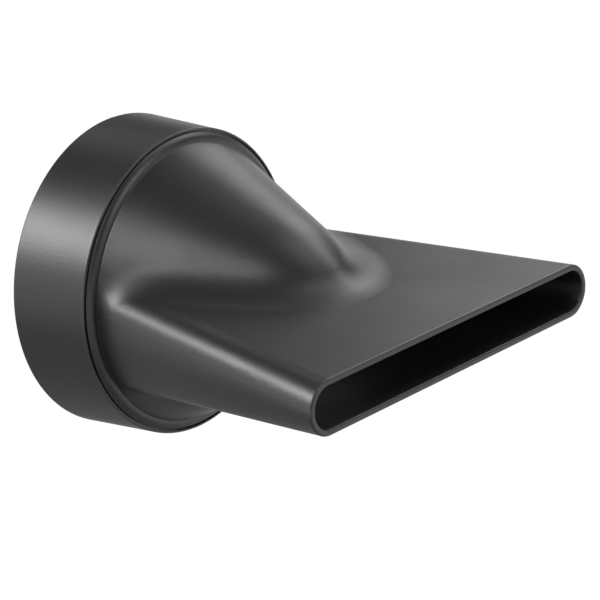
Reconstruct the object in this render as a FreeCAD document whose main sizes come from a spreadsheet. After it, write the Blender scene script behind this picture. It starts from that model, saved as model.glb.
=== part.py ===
# Hair dryer concentrator nozzle: one moulded piece, a round collar that narrows to a wide flat outlet slot.
# Millimetres, +Z up. The origin is the centre of the collar's rear face, and the outlet faces -Y.
# A depth is a distance from the rear face towards the outlet. A radius is measured from the collar's axis.
import FreeCAD, Part
import math
import os

import Sketcher

NODE = "concentrator_nozzle"

# The driving dimensions, each with what it is.
SIZES = [
    ("socket_diameter", 55.0, "bore that goes over the barrel of the dryer"),
    ("socket_depth", 15.5, "rear face to the stop inside the socket"),
    ("collar_length", 17.3, "rear face to the collar's front edge"),
    ("collar_wall", 1.7, "wall of the collar at its front edge"),
    ("collar_taper", 0.8, "how much the collar's radius grows towards the rear"),
    ("rear_edge_round", 0.6, "round on the collar's rear edge"),
    ("front_edge_round", 0.25, "round on the collar's front edge"),
    ("front_land", 0.4, "flat land between the collar's front edge and the shadow groove"),
    ("shadow_groove_width", 0.4, "fine groove between the collar and the shoulder"),
    ("shadow_groove_depth", 0.5, "depth of the fine groove"),
    ("shoulder_width", 1.8, "rounded shoulder, measured along the radius"),
    ("shoulder_rise", 1.0, "how far the shoulder stands in front of the collar's edge"),
    ("hump_setback", 3.4, "lip to the point that the hump's straight side aims at"),
    ("nose_depth", 43.0, "depth at which the hump's straight side turns into its nose"),
    ("nose_tip_depth", 58.5, "depth at which the nose would reach the collar's axis"),
    ("duct_root_top", 6.2, "top of the duct above the collar's axis, where it leaves the shoulder"),
    ("duct_root_bottom", 15.0, "bottom of the duct below the collar's axis, where it leaves the shoulder"),
    ("duct_root_corner", 5.0, "round of the duct's edges where it leaves the shoulder"),
    ("duct_root_inset", 0.2, "how far the duct's curved sides stay inside the hump's own radius there"),
    ("slot_drop", 1.8, "how far the outlet slot's middle lies below the collar's axis"),
    ("slot_width", 81.0, "outlet slot, over the outside of the lip"),
    ("slot_height", 10.0, "outlet slot, over the outside of the lip"),
    ("overall_length", 79.6, "rear face to the lip"),
    ("valley_round", 11.0, "soft round in the valley between the hump and the duct"),
    ("wall", 1.6, "wall of the hump and of the duct's root"),
    ("lip_wall", 1.2, "wall at the lip of the outlet slot"),
    ("lip_round", 0.35, "round on both edges of the lip"),
]

# Sizes that follow from the driving ones, as expressions on the sheet.
SOCKET_RADIUS = "sizes.socket_diameter / 2"
FRONT_RADIUS = f"({SOCKET_RADIUS} + sizes.collar_wall)"
REAR_RADIUS = f"({FRONT_RADIUS} + sizes.collar_taper)"
LAND_RADIUS = f"({FRONT_RADIUS} - sizes.front_land)"
SHOULDER_RADIUS = f"({LAND_RADIUS} - sizes.shadow_groove_width)"
HUMP_RADIUS = f"({SHOULDER_RADIUS} - sizes.shoulder_width)"
GROOVE_BOTTOM = "(sizes.collar_length - sizes.shadow_groove_depth)"
SHOULDER_FRONT = "(sizes.collar_length + sizes.shoulder_rise)"
HUMP_APEX = "(sizes.overall_length - sizes.hump_setback)"
HUMP_SLOPE = f"({HUMP_RADIUS} / ({HUMP_APEX} - {SHOULDER_FRONT}))"
HUMP_STRETCH = f"sqrt(1 + {HUMP_SLOPE} ^ 2)"
HUMP_WALL = f"(sizes.wall * {HUMP_STRETCH})"
NOSE_RADIUS = f"({HUMP_SLOPE} * ({HUMP_APEX} - sizes.nose_depth))"
INNER_HUMP_RADIUS = f"({HUMP_RADIUS} - {HUMP_WALL})"
INNER_NOSE_RADIUS = f"({NOSE_RADIUS} - sizes.wall / {HUMP_STRETCH})"
INNER_NOSE_DEPTH = f"(sizes.nose_depth - sizes.wall * {HUMP_SLOPE} / {HUMP_STRETCH})"
INNER_NOSE_TIP = f"(sizes.nose_tip_depth - {HUMP_WALL})"
DUCT_ROOT_RADIUS = f"({HUMP_RADIUS} - sizes.duct_root_inset)"
INNER_ROOT_RADIUS = f"({DUCT_ROOT_RADIUS} - sizes.wall)"
INNER_ROOT_TOP = "(sizes.duct_root_top - sizes.wall)"
INNER_ROOT_BOTTOM = "(sizes.duct_root_bottom - sizes.wall)"
INNER_ROOT_CORNER = "(sizes.duct_root_corner - sizes.wall)"
# How high and how low the duct's curved sides reach at its root, as a share of their radius.
CORNER_REACH = f"({DUCT_ROOT_RADIUS} - sizes.duct_root_corner)"
SIDE_TOP_SHARE = f"((sizes.duct_root_top - sizes.duct_root_corner) / {CORNER_REACH})"
SIDE_BOTTOM_SHARE = f"((sizes.duct_root_bottom - sizes.duct_root_corner) / {CORNER_REACH})"
INNER_SLOT_WIDTH = "(sizes.slot_width - 2 * sizes.lip_wall)"
INNER_SLOT_HEIGHT = "(sizes.slot_height - 2 * sizes.lip_wall)"

ON_AXIS = None
ON_REAR_FACE = None
FLAT_TOLERANCE = 1e-4
# An edge round never takes more than this share of the narrow land or lip that it lies on.
LAND_SHARE = 0.8
LIP_SHARE = 0.4
FULL_TURN = 360
# What the hump's straight side and its nose become when they are turned.
HUMP_SURFACES = (Part.Cone, Part.Toroid, Part.SurfaceOfRevolution)
# How an arc in a half section leaves or ends.
SMOOTH, SQUARE = "smooth", "square"

# Sketcher's numbers for the axes and for the ends and the centre of a curve.
START, END, CENTRE = range(1, 4)
H_AXIS, V_AXIS = range(-1, -3, -1)
ROOT_POINT = (H_AXIS, START)


def make_sheet(doc):
    sheet = doc.addObject("Spreadsheet::Sheet", "sizes")
    for row, (alias, value, meaning) in enumerate(SIZES, start=1):
        sheet.set(f"A{row}", meaning)
        sheet.set(f"B{row}", str(value))
        sheet.setAlias(f"B{row}", alias)
    doc.recompute()
    return sheet


def value_of(body, expression):
    return float(body.Document.getObject("sizes").evalExpression(expression))


def new_sketch(body, name, role):
    plane = next(item for item in body.Origin.OriginFeatures if item.Role == role)
    sketch = body.newObject("Sketcher::SketchObject", name)
    sketch.AttachmentSupport = [(plane, "")]
    sketch.MapMode = "FlatFace"
    return sketch


def bind(sketch, kind, *targets):
    """Adds a constraint whose last target is an expression on the sheet."""
    *geometry, expression = targets
    value = value_of(sketch.getParentGeoFeatureGroup(), expression)
    index = sketch.addConstraint(Sketcher.Constraint(kind, *geometry, value))
    sketch.setExpression(f"Constraints[{index}]", expression)


def half_section(body, name, corners, arcs):
    """Draws a closed half section of (radius, depth) corners beside the collar's axis.

    A side is straight unless arcs names the corner it starts from. A SMOOTH arc carries on from the side
    before it, and a SQUARE one ends square to the axis.
    """
    sketch = new_sketch(body, name, "XY_Plane")
    points = []
    for radius, depth in corners:
        across = 0.0 if radius is ON_AXIS else value_of(body, radius)
        along = 0.0 if depth is ON_REAR_FACE else value_of(body, depth)
        points.append(FreeCAD.Vector(across, -along, 0))
    normal = FreeCAD.Vector(0, 0, 1)
    sides = []
    for index, here in enumerate(points):
        there = points[(index + 1) % len(points)]
        chord = there - here
        if index not in arcs:
            sides.append((sketch.addGeometry(Part.LineSegment(here, there)), START, END))
            continue
        if arcs[index] == SMOOTH:
            inward = (here - points[index - 1]).cross(normal).normalize()
            radius = chord.Length ** 2 / (2 * inward.dot(chord))
            centre = here + inward * radius
        else:
            radius = chord.Length ** 2 / (2 * abs(chord.y))
            centre = there + FreeCAD.Vector(0, radius, 0)
        first = math.atan2(there.y - centre.y, there.x - centre.x)
        last = math.atan2(here.y - centre.y, here.x - centre.x)
        arc = Part.ArcOfCircle(Part.Circle(centre, normal, radius), first, last)
        sides.append((sketch.addGeometry(arc), END, START))
    for index, (radius, depth) in enumerate(corners):
        side, begin, finish = sides[index]
        before, _, joint = sides[index - 1]
        kind = "Tangent" if arcs.get(index) == SMOOTH else "Coincident"
        sketch.addConstraint(Sketcher.Constraint(kind, before, joint, side, begin))
        if arcs.get(index) == SQUARE:
            sketch.addConstraint(Sketcher.Constraint("Vertical", side, CENTRE, side, finish))
        if radius is ON_AXIS:
            sketch.addConstraint(Sketcher.Constraint("PointOnObject", side, begin, V_AXIS))
        else:
            bind(sketch, "DistanceX", *ROOT_POINT, side, begin, radius)
        if depth is ON_REAR_FACE:
            sketch.addConstraint(Sketcher.Constraint("PointOnObject", side, begin, H_AXIS))
        else:
            bind(sketch, "DistanceY", side, begin, *ROOT_POINT, depth)
    return sketch


def ring_of_sides(sketch, arcs):
    """Draws six arcs, each (x, z, radius, first angle, last angle), and the two lines that close them."""
    normal = FreeCAD.Vector(0, 0, 1)
    drawn = []
    for x, z, radius, first, last in arcs:
        circle = Part.Circle(FreeCAD.Vector(x, z, 0), normal, radius)
        drawn.append(sketch.addGeometry(Part.ArcOfCircle(circle, first, last)))
    lines = []
    for before, after in ((drawn[2], drawn[3]), (drawn[5], drawn[0])):
        ends = [sketch.getPoint(before, END), sketch.getPoint(after, START)]
        lines.append(sketch.addGeometry(Part.LineSegment(*ends)))
    return drawn[:3] + lines[:1] + drawn[3:] + lines[1:]


def end_arcs(reach, radius, top, bottom):
    """The arcs of both round ends, anticlockwise from the lower right, split where the sides begin."""
    quarter = math.pi / 2
    up, down = math.asin(top), math.asin(bottom)
    right = [-quarter, -down, up, quarter]
    left = [math.pi - angle for angle in reversed(right)]
    arcs = [(reach, 0, radius, *span) for span in zip(right, right[1:])]
    return arcs + [(-reach, 0, radius, *span) for span in zip(left, left[1:])]


def root_section(body, name, radius, top, bottom, corner):
    """Draws the duct's root: sides that curve around the collar's axis, a flat top and bottom, round edges."""
    sketch = new_sketch(body, name, "XZ_Plane")
    sketch.setExpression("AttachmentOffset.Base.z", SHOULDER_FRONT)
    big, small = value_of(body, radius), value_of(body, corner)
    rise, fall = value_of(body, f"{top} - {corner}"), value_of(body, f"{bottom} - {corner}")
    shares = value_of(body, SIDE_TOP_SHARE), value_of(body, SIDE_BOTTOM_SHARE)
    spans = [arc[3:] for arc in end_arcs(0, big, *shares)]
    high, low = math.sqrt((big - small) ** 2 - rise ** 2), math.sqrt((big - small) ** 2 - fall ** 2)
    middles = [(low, -fall, small), (0, 0, big), (high, rise, small),
               (-high, rise, small), (0, 0, big), (-low, -fall, small)]
    sides = ring_of_sides(sketch, [middle + span for middle, span in zip(middles, spans)])
    for index, side in enumerate(sides):
        sketch.addConstraint(Sketcher.Constraint("Tangent", sides[index - 1], END, side, START))
    lower_right, right, upper_right, _, upper_left, left, lower_left, _ = sides
    for side in (right, left):
        sketch.addConstraint(Sketcher.Constraint("Coincident", side, CENTRE, *ROOT_POINT))
        bind(sketch, "Radius", side, radius)
    for edge in (upper_right, upper_left):
        bind(sketch, "Radius", edge, corner)
        bind(sketch, "DistanceY", *ROOT_POINT, edge, CENTRE, f"{top} - {corner}")
    for edge in (lower_right, lower_left):
        bind(sketch, "Radius", edge, corner)
        bind(sketch, "DistanceY", edge, CENTRE, *ROOT_POINT, f"{bottom} - {corner}")
    return sketch


def slot_section(body, name, width, height):
    """Draws the slot: a flat top and bottom, and round ends that are split at the same slopes as the root."""
    sketch = new_sketch(body, name, "XZ_Plane")
    sketch.setExpression("AttachmentOffset.Base.y", "-sizes.slot_drop")
    sketch.setExpression("AttachmentOffset.Base.z", "sizes.overall_length")
    radius, reach = f"({height} / 2)", f"({width} / 2 - {height} / 2)"
    shares = value_of(body, SIDE_TOP_SHARE), value_of(body, SIDE_BOTTOM_SHARE)
    sides = ring_of_sides(sketch, end_arcs(value_of(body, reach), value_of(body, radius), *shares))
    for index, side in enumerate(sides):
        sketch.addConstraint(Sketcher.Constraint("Coincident", sides[index - 1], END, side, START))
    lower_right, right, upper_right, _, upper_left, left, lower_left, _ = sides
    for side in (right, left):
        sketch.addConstraint(Sketcher.Constraint("PointOnObject", side, CENTRE, H_AXIS))
        bind(sketch, "Radius", side, radius)
    bind(sketch, "DistanceX", *ROOT_POINT, right, CENTRE, reach)
    bind(sketch, "DistanceX", left, CENTRE, *ROOT_POINT, reach)
    for edge, end, side in ((upper_right, END, right), (upper_left, START, left),
                            (lower_right, START, right), (lower_left, END, left)):
        sketch.addConstraint(Sketcher.Constraint("Coincident", edge, CENTRE, side, CENTRE))
        sketch.addConstraint(Sketcher.Constraint("Vertical", edge, CENTRE, edge, end))
    for side, high, low in ((right, END, START), (left, START, END)):
        bind(sketch, "DistanceY", *ROOT_POINT, side, high, f"{radius} * {SIDE_TOP_SHARE}")
        bind(sketch, "DistanceY", side, low, *ROOT_POINT, f"{radius} * {SIDE_BOTTOM_SHARE}")
    return sketch


def turned(body, kind, name, section):
    feature = body.newObject(f"PartDesign::{kind}", name)
    feature.Profile = section
    feature.ReferenceAxis = (section, ["V_Axis"])
    feature.Angle = FULL_TURN
    return feature


def lofted(body, kind, name, first, last):
    feature = body.newObject(f"PartDesign::{kind}", name)
    feature.Profile = first
    feature.Sections = [last]
    feature.Ruled = True
    return feature


def rounded(body, name, chosen, radius):
    """Rounds the edges of the body's tip for which chosen(edge) is true."""
    body.Document.recompute()
    base = body.Tip
    names = [f"Edge{index}" for index, edge in enumerate(base.Shape.Edges, start=1) if chosen(edge)]
    if not names:
        raise RuntimeError(f"{name} found no edge to round")
    feature = body.newObject("PartDesign::Fillet", name)
    feature.Base = (base, names)
    feature.setExpression("Radius", radius)
    return feature


def add_hump_and_duct(body):
    """The cone-shaped hump and the flat duct run into each other in a soft valley."""
    section = half_section(body, "HumpSection", [
        (ON_AXIS, SHOULDER_FRONT),
        (HUMP_RADIUS, SHOULDER_FRONT),
        (NOSE_RADIUS, "sizes.nose_depth"),
        (ON_AXIS, "sizes.nose_tip_depth"),
    ], {2: SMOOTH})
    turned(body, "Revolution", "Hump", section)
    root = root_section(body, "DuctRoot", DUCT_ROOT_RADIUS, "sizes.duct_root_top", "sizes.duct_root_bottom",
                        "sizes.duct_root_corner")
    slot = slot_section(body, "DuctSlot", "sizes.slot_width", "sizes.slot_height")
    lofted(body, "AdditiveLoft", "Duct", root, slot)
    body.Document.recompute()
    shape = body.Tip.Shape

    def in_valley(edge):
        faces = shape.ancestorsOfType(edge, Part.Face)
        humps = [face for face in faces if isinstance(face.Surface, HUMP_SURFACES)]
        return len(faces) == 2 and len(humps) == 1 and edge.BoundBox.YLength > FLAT_TOLERANCE

    rounded(body, "ValleyRound", in_valley, "sizes.valley_round")


def add_collar(body):
    """The collar, with a fine shadow groove and a rounded shoulder in front of it."""
    section = half_section(body, "CollarSection", [
        (ON_AXIS, ON_REAR_FACE),
        (REAR_RADIUS, ON_REAR_FACE),
        (FRONT_RADIUS, "sizes.collar_length"),
        (LAND_RADIUS, "sizes.collar_length"),
        (LAND_RADIUS, GROOVE_BOTTOM),
        (SHOULDER_RADIUS, GROOVE_BOTTOM),
        (SHOULDER_RADIUS, "sizes.collar_length"),
        (HUMP_RADIUS, SHOULDER_FRONT),
        (ON_AXIS, SHOULDER_FRONT),
    ], {6: SQUARE})
    turned(body, "Revolution", "Collar", section)

    def is_rim(radius, depth):
        wanted_radius, wanted_depth = value_of(body, radius), value_of(body, depth)

        def chosen(edge):
            circle = isinstance(edge.Curve, Part.Circle)
            if not circle or abs(edge.Curve.Radius - wanted_radius) > FLAT_TOLERANCE:
                return False
            return abs(edge.Curve.Center.y + wanted_depth) < FLAT_TOLERANCE
        return chosen

    rounded(body, "RearEdgeRound", is_rim(REAR_RADIUS, "0"), "sizes.rear_edge_round")
    rounded(body, "FrontEdgeRound", is_rim(FRONT_RADIUS, "sizes.collar_length"),
            f"min(sizes.front_edge_round; {LAND_SHARE} * sizes.front_land)")


def cut_inside(body):
    """The socket with its stop and the insides of the hump and the duct, in one open way through."""
    section = half_section(body, "SocketSection", [
        (ON_AXIS, ON_REAR_FACE),
        (SOCKET_RADIUS, ON_REAR_FACE),
        (SOCKET_RADIUS, "sizes.socket_depth"),
        (INNER_HUMP_RADIUS, "sizes.socket_depth"),
        (INNER_HUMP_RADIUS, SHOULDER_FRONT),
        (INNER_NOSE_RADIUS, INNER_NOSE_DEPTH),
        (ON_AXIS, INNER_NOSE_TIP),
    ], {5: SMOOTH})
    turned(body, "Groove", "Socket", section)
    root = root_section(body, "InnerDuctRoot", INNER_ROOT_RADIUS, INNER_ROOT_TOP, INNER_ROOT_BOTTOM,
                        INNER_ROOT_CORNER)
    slot = slot_section(body, "InnerDuctSlot", INNER_SLOT_WIDTH, INNER_SLOT_HEIGHT)
    lofted(body, "SubtractiveLoft", "InnerDuct", root, slot)
    lip = -value_of(body, "sizes.overall_length")

    def on_lip(edge):
        box = edge.BoundBox
        return abs(box.YMin - lip) < FLAT_TOLERANCE and abs(box.YMax - lip) < FLAT_TOLERANCE

    rounded(body, "LipRound", on_lip, f"min(sizes.lip_round; {LIP_SHARE} * sizes.lip_wall)")


def check(doc, body):
    doc.recompute()
    for item in doc.Objects:
        if "Invalid" in item.State or "Error" in item.State:
            raise RuntimeError(f"{item.Label} did not compute: {item.State}")
    shape = body.Shape
    if shape.isNull() or not shape.isValid() or len(shape.Solids) != 1:
        raise RuntimeError(f"{body.Label} is not one valid solid")


def main():
    doc = FreeCAD.newDocument("ConcentratorNozzle")
    make_sheet(doc)
    body = doc.addObject("PartDesign::Body", "Nozzle")
    body.Label = NODE
    add_hump_and_duct(body)
    add_collar(body)
    cut_inside(body)
    check(doc, body)
    os.makedirs("parts", exist_ok=True)
    body.Shape.exportStep(f"parts/{body.Label}.step")
    box = body.Shape.BoundBox
    size = f"{box.XLength:.1f} x {box.YLength:.1f} x {box.ZLength:.1f} mm"
    print(f"{body.Label}: {size}, {body.Shape.Volume:.0f} mm3")


main()
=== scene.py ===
import bpy
import math
from mathutils import Matrix, Vector


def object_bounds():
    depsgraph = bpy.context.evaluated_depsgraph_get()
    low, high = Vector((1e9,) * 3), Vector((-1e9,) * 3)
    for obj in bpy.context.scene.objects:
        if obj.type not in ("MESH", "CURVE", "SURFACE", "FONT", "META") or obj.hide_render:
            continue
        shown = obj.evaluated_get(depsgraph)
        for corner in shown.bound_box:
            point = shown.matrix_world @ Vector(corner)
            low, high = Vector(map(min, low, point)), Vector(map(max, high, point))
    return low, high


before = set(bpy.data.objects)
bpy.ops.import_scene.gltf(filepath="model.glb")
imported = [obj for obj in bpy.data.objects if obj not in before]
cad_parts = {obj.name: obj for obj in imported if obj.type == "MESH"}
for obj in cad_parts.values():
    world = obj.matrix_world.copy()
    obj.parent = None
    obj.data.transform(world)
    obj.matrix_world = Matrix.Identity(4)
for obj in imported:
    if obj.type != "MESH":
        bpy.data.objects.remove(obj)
cad_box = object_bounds()
scene = bpy.context.scene
scene.view_settings.view_transform = "Standard"

NOZZLE = "concentrator_nozzle"
WHITE = (1, 1, 1, 1)

# The camera stands to the left of the outlet and a little above it, as in the photograph.
# Angles are in degrees, sensor and lens in millimetres, other lengths in metres.
AZIMUTH, ELEVATION, ROLL = -49.55, 18.25, -3.21
DISTANCE = 0.550
SENSOR = 36.0
LENS = 171.57
AIM_RIGHT, AIM_UP = 0.0340, -0.0063
CLIP_START, CLIP_END = 0.01, 30.0

# Softboxes around the nozzle: azimuth and elevation in degrees, width and height in metres, power in watts.
SOFTBOXES = {
    "left_key": (-128, 28, 0.22, 0.20, 1.50),
    "back_left": (-149, 26, 0.20, 0.20, 1.30),
    "near_left": (-80, 42, 0.24, 0.36, 1.35),
    "top": (52, 64, 0.30, 0.24, 0.35),
    "right": (86, 41, 0.42, 0.20, 0.90),
    "back_right": (112, 25, 0.24, 0.18, 0.24),
    "back": (145, 42, 0.24, 0.20, 0.10),
    "front": (12, 28, 0.30, 0.20, 0.80),
}
LAMP_DISTANCE = 0.6
ROOM_LEVEL = 0.08

# The floor's middle lies below the nozzle, behind it and to its left.
FLOOR_MIDDLE = (-0.40, 0.25, -0.45)
# The floor's rings, each a radius and a height in metres: flat for a long way, then a low rim.
FLOOR_RINGS = [(1.0, 0.0), (4.5, 0.0), (4.9, 0.13), (5.1, 0.45), (5.2, 1.2)]
FLOOR_STEPS = 64
FLOOR_PAINT = (0.22, 0.22, 0.22, 1)
# The floor's glow goes from grey to white between these two distances from its middle, in metres; the grey
# middle is a painted shade pool, so that the plastic mirrors a grey floor beside it and the camera sees a
# white one.
GLOW_REACH = (0.80, 1.04)
GLOW_LEVEL = (0.26, 1.0)

# The plastic's two noises: scale, detail and roughness, and the range of each that is used.
GRAIN_NOISE = (2400.0, 3.0, 0.65)
GRAIN_RANGE = (0.35, 0.75)
CLOUD_NOISE = (55.0, 4.0, 0.55)
CLOUD_RANGE = (0.3, 0.7)
# The plastic's colours, and the largest share that flecks and the painted edge highlight take.
BODY_DARK = (0.0110, 0.0110, 0.0116, 1)
BODY_PALE = (0.0150, 0.0150, 0.0157, 1)
FLECKS = (0.028, 0.028, 0.0295, 1)
FLECK_SHARE = 0.35
# A lighter colour for the part's edges: a painted highlight.
EDGE_HIGHLIGHT = (0.095, 0.095, 0.098, 1)
EDGE_HIGHLIGHT_SHARE = 0.7
# The plastic's gloss and relief.
BODY_ROUGHNESS = (0.42, 0.36)
EDGE_ROUGHNESS = 0.28
PLASTIC_IOR = 1.6
BUMP_STRENGTH = 0.35
BUMP_DISTANCE = 0.00006
# An edge is where the normal, averaged over this radius in metres, leaves the surface's own.
EDGE_RADIUS = 0.0007
EDGE_SAMPLES = 8
EDGE_AGREEMENT = (0.995, 0.90)

# A Mix node has several sockets of the same name, so these go by number.
MIX_FACTOR = 0
MIX_NUMBERS, MIX_NUMBER_OUT = (2, 3), 0
MIX_COLOURS, MIX_COLOUR_OUT = (6, 7), 2


def turned_axes(azimuth, elevation, roll=0.0):
    """Right, up and back of something that looks at the object from a direction, in degrees."""
    a, e, r = (math.radians(angle) for angle in (azimuth, elevation, roll))
    back = Vector((math.sin(a) * math.cos(e), -math.cos(a) * math.cos(e), math.sin(e)))
    flat = Vector((math.cos(a), math.sin(a), 0.0))
    up = back.cross(flat)
    right = math.cos(r) * flat + math.sin(r) * up
    up = -math.sin(r) * flat + math.cos(r) * up
    return right, up, back


def placed(obj, axes, location):
    """Turns an object to its axes, moves it to its place and puts it in the scene."""
    right, up, back = axes
    turn = Matrix((right, up, back)).transposed().to_4x4()
    obj.matrix_world = Matrix.Translation(location) @ turn
    scene.collection.objects.link(obj)


def add_camera():
    data = bpy.data.cameras.new("camera")
    data.sensor_width = SENSOR
    data.lens = LENS
    data.clip_start, data.clip_end = CLIP_START, CLIP_END
    right, up, back = axes = turned_axes(AZIMUTH, ELEVATION, ROLL)
    camera = bpy.data.objects.new("camera", data)
    placed(camera, axes, right * AIM_RIGHT + up * AIM_UP + back * DISTANCE)
    scene.camera = camera


def add_softbox(name, azimuth, elevation, width, height, power):
    """A soft rectangular lamp that looks at the nozzle's middle."""
    data = bpy.data.lights.new(name, "AREA")
    data.shape = "RECTANGLE"
    data.size, data.size_y = width, height
    data.energy = power
    axes = turned_axes(azimuth, elevation)
    lamp = bpy.data.objects.new(name, data)
    lamp.visible_camera = False
    lo, hi = cad_box
    placed(lamp, axes, (lo + hi) / 2 + axes[2] * LAMP_DISTANCE)


def add_world():
    """An even, faint room light."""
    world = bpy.data.worlds.new("room")
    world.use_nodes = True
    scene.world = world
    room = world.node_tree.nodes["Background"]
    room.inputs["Color"].default_value = WHITE
    room.inputs["Strength"].default_value = ROOM_LEVEL


def seen_directly(tree):
    """Is 1 for what is seen straight, in a reflection or through something, and 0 for room light."""
    path = tree.nodes.new("ShaderNodeLightPath")
    total = path.outputs["Is Camera Ray"]
    for kind in ("Is Glossy Ray", "Is Transmission Ray"):
        add = tree.nodes.new("ShaderNodeMath")
        add.operation = "ADD"
        add.use_clamp = True
        tree.links.new(total, add.inputs[0])
        tree.links.new(path.outputs[kind], add.inputs[1])
        total = add.outputs["Value"]
    return total


def spread(tree, value, low, high, to_low, to_high):
    """Maps a value's range low..high to another one."""
    node = tree.nodes.new("ShaderNodeMapRange")
    node.inputs["From Min"].default_value = low
    node.inputs["From Max"].default_value = high
    node.inputs["To Min"].default_value = to_low
    node.inputs["To Max"].default_value = to_high
    tree.links.new(value, node.inputs["Value"])
    return node.outputs["Result"]


def noise(tree, place, scale, detail, roughness):
    node = tree.nodes.new("ShaderNodeTexNoise")
    node.inputs["Scale"].default_value = scale
    node.inputs["Detail"].default_value = detail
    node.inputs["Roughness"].default_value = roughness
    tree.links.new(place, node.inputs["Vector"])
    return node.outputs["Fac"]


def mixed(tree, share, first, second):
    """A colour between two, by a share that varies over the surface."""
    node = tree.nodes.new("ShaderNodeMix")
    node.data_type = "RGBA"
    tree.links.new(share, node.inputs[MIX_FACTOR])
    for number, colour in zip(MIX_COLOURS, (first, second)):
        if isinstance(colour, tuple):
            node.inputs[number].default_value = colour
        else:
            tree.links.new(colour, node.inputs[number])
    return node.outputs[MIX_COLOUR_OUT]


def edge_mask(tree):
    """Is near 1 on the edges of the part, where a lighter colour is painted as a highlight, and 0 on its
    faces.
    """
    soft = tree.nodes.new("ShaderNodeBevel")
    soft.samples = EDGE_SAMPLES
    soft.inputs["Radius"].default_value = EDGE_RADIUS
    plain = tree.nodes.new("ShaderNodeNewGeometry")
    agree = tree.nodes.new("ShaderNodeVectorMath")
    agree.operation = "DOT_PRODUCT"
    tree.links.new(soft.outputs["Normal"], agree.inputs[0])
    tree.links.new(plain.outputs["Normal"], agree.inputs[1])
    return spread(tree, agree.outputs["Value"], *EDGE_AGREEMENT, 0.0, 1.0)


def floor_mesh():
    """A disc of rings around a middle point, with a rim that rises far away."""
    verts = [(0.0, 0.0, 0.0)]
    faces = []
    for ring, (radius, height) in enumerate(FLOOR_RINGS):
        first = len(verts)
        for step in range(FLOOR_STEPS):
            turn = 2 * math.pi * step / FLOOR_STEPS
            verts.append((radius * math.cos(turn), radius * math.sin(turn), height))
        for step in range(FLOOR_STEPS):
            here, there = first + step, first + (step + 1) % FLOOR_STEPS
            if ring == 0:
                faces.append((0, here, there))
            else:
                faces.append((here - FLOOR_STEPS, here, there, there - FLOOR_STEPS))
    mesh = bpy.data.meshes.new("floor")
    mesh.from_pydata(verts, [], faces)
    mesh.shade_smooth()
    return mesh


def floor_glow_with_painted_pool():
    """Grey paint that keeps the shadow, with a glow for camera, glossy and transmission rays that is dimmer
    near the middle: a painted shade pool.
    """
    material = bpy.data.materials.new("floor_glow_with_painted_pool")
    material.use_nodes = True
    tree = material.node_tree
    tree.nodes.clear()
    out = tree.nodes.new("ShaderNodeOutputMaterial")
    paint = tree.nodes.new("ShaderNodeBsdfDiffuse")
    paint.inputs["Color"].default_value = FLOOR_PAINT
    place = tree.nodes.new("ShaderNodeTexCoord").outputs["Object"]
    away = tree.nodes.new("ShaderNodeVectorMath")
    away.operation = "LENGTH"
    tree.links.new(place, away.inputs[0])
    # The glow is grey near the middle: a painted shade pool under the nozzle.
    white = spread(tree, away.outputs["Value"], *GLOW_REACH, *GLOW_LEVEL)
    level = tree.nodes.new("ShaderNodeMath")
    level.operation = "MULTIPLY"
    tree.links.new(seen_directly(tree), level.inputs[0])
    tree.links.new(white, level.inputs[1])
    glow = tree.nodes.new("ShaderNodeEmission")
    glow.inputs["Color"].default_value = WHITE
    tree.links.new(level.outputs["Value"], glow.inputs["Strength"])
    both = tree.nodes.new("ShaderNodeAddShader")
    tree.links.new(paint.outputs["BSDF"], both.inputs[0])
    tree.links.new(glow.outputs["Emission"], both.inputs[1])
    tree.links.new(both.outputs["Shader"], out.inputs["Surface"])
    return material


def add_floor():
    """A floor well under the nozzle: its glow is grey in its middle, a painted shade pool, and white around
    that.
    """
    mesh = floor_mesh()
    mesh.materials.append(floor_glow_with_painted_pool())
    floor = bpy.data.objects.new("floor", mesh)
    floor.location = FLOOR_MIDDLE
    scene.collection.objects.link(floor)


def black_plastic():
    """Satin black moulded plastic: a fine grain, faint flow clouds, and a painted highlight on the edges,
    which are lighter and glossier.
    """
    material = bpy.data.materials.new("black_plastic")
    material.use_nodes = True
    tree = material.node_tree
    shader = tree.nodes["Principled BSDF"]
    place = tree.nodes.new("ShaderNodeTexCoord").outputs["Object"]
    grain = noise(tree, place, *GRAIN_NOISE)
    clouds = noise(tree, place, *CLOUD_NOISE)
    edges = edge_mask(tree)

    cloud_share = spread(tree, clouds, *CLOUD_RANGE, 0.0, 1.0)
    fleck_share = spread(tree, grain, *GRAIN_RANGE, 0.0, FLECK_SHARE)
    # The edges get the lighter colour: a painted highlight.
    edge_highlight_share = spread(tree, edges, 0.0, 1.0, 0.0, EDGE_HIGHLIGHT_SHARE)
    body = mixed(tree, cloud_share, BODY_DARK, BODY_PALE)
    flecked = mixed(tree, fleck_share, body, FLECKS)
    highlighted_edges = mixed(tree, edge_highlight_share, flecked, EDGE_HIGHLIGHT)
    tree.links.new(highlighted_edges, shader.inputs["Base Color"])

    gloss = spread(tree, clouds, *CLOUD_RANGE, *BODY_ROUGHNESS)
    blend = tree.nodes.new("ShaderNodeMix")
    body_socket, edge_socket = (blend.inputs[number] for number in MIX_NUMBERS)
    tree.links.new(edges, blend.inputs[MIX_FACTOR])
    tree.links.new(gloss, body_socket)
    edge_socket.default_value = EDGE_ROUGHNESS
    tree.links.new(blend.outputs[MIX_NUMBER_OUT], shader.inputs["Roughness"])
    shader.inputs["IOR"].default_value = PLASTIC_IOR

    bump = tree.nodes.new("ShaderNodeBump")
    bump.inputs["Strength"].default_value = BUMP_STRENGTH
    bump.inputs["Distance"].default_value = BUMP_DISTANCE
    tree.links.new(grain, bump.inputs["Height"])
    tree.links.new(bump.outputs["Normal"], shader.inputs["Normal"])
    return material


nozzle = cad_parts[NOZZLE]
nozzle.data.materials.clear()
nozzle.data.materials.append(black_plastic())
add_camera()
add_world()
add_floor()
for name, settings in SOFTBOXES.items():
    add_softbox(name, *settings)
